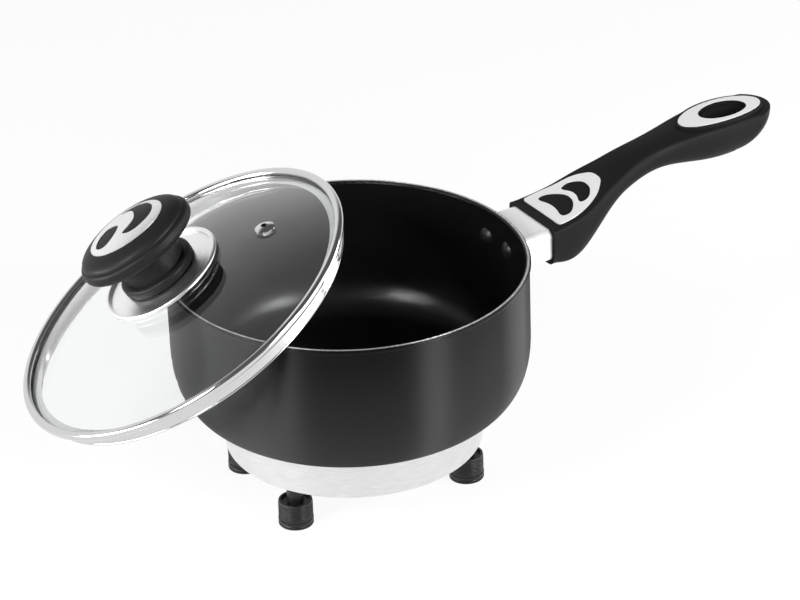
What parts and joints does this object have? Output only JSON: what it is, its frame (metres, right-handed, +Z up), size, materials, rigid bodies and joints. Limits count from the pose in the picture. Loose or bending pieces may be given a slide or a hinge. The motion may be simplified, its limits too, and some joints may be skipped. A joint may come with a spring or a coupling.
{
  "type": "electric pan",
  "caption": "Round electric saucepan on a heated base with rubber feet, a curved side handle, and a domed glass lid with a knob leaning over its rim.",
  "frame": {"origin": "on the table, below the pan's own axis", "axes": "+X from the pan's axis along the handle, +Z up the pan's axis, +Y to the left seen from the pan towards the handle's end, where the inlet is"},
  "size_m": [0.4167, 0.2127, 0.1653],
  "materials": {
    "bowl": "dark grey non-stick coating, satin",
    "bright": "brushed",
    "steel": "polished to satin",
    "band": "polished",
    "grip": "fine satin",
    "knob": "soft gloss",
    "rivet": "dark coated",
    "glass": "clear tempered",
    "foot": "moulded rubber",
    "post": "moulded",
    "inlet": "moulded",
    "pins": "plain",
    "sheath": "plain sheath",
    "wool": "mineral fibre board",
    "zinc": "zinc plated",
    "wire": "silicone sleeve",
    "seal": "silicone",
    "device": "plain housing"
  },
  "bodies": {
    "pan": {"pan_bowl": "bowl", "handle_rivets": "rivet", "handle_bracket": "zinc", "flame_guard": "steel", "handle_grip": "grip", "handle_shield_inlay": "steel", "handle_ring_inlay": "steel", "handle_screw": "zinc", "base_ring": "bright", "base_cover": "zinc", "foot_nuts": "zinc", "heat_plate": "bright", "heating_element": "sheath", "insulation_disc": "wool", "clamp_plate": "zinc", "thermostat": "device", "thermal_fuse": "device", "lead_wires": "wire", "base_stud": "zinc", "base_spacer": "zinc", "base_washer": "zinc", "base_nut": "zinc", "inlet_housing": "inlet", "inlet_pins": "pins", "inlet_screws": "zinc", "rubber_foot_1": "foot", "foot_post_1": "post", "rubber_foot_2": "foot", "foot_post_2": "post", "rubber_foot_3": "foot", "foot_post_3": "post", "rubber_foot_4": "foot", "foot_post_4": "post"},
    "lid": {"lid_glass": "glass", "lid_rim": "band", "steam_vent": "band", "knob_disc": "steel", "knob_stem": "knob", "knob_cap": "knob", "knob_inlay": "steel", "knob_seal": "seal", "knob_washer": "zinc", "knob_screw": "zinc"}
  },
  "joints": [
    {"name": "lid_lift", "type": "slide", "parent": "pan", "child": "lid", "axis": [0, 0, 1], "range_m": [0, 0.12]}
  ]
}
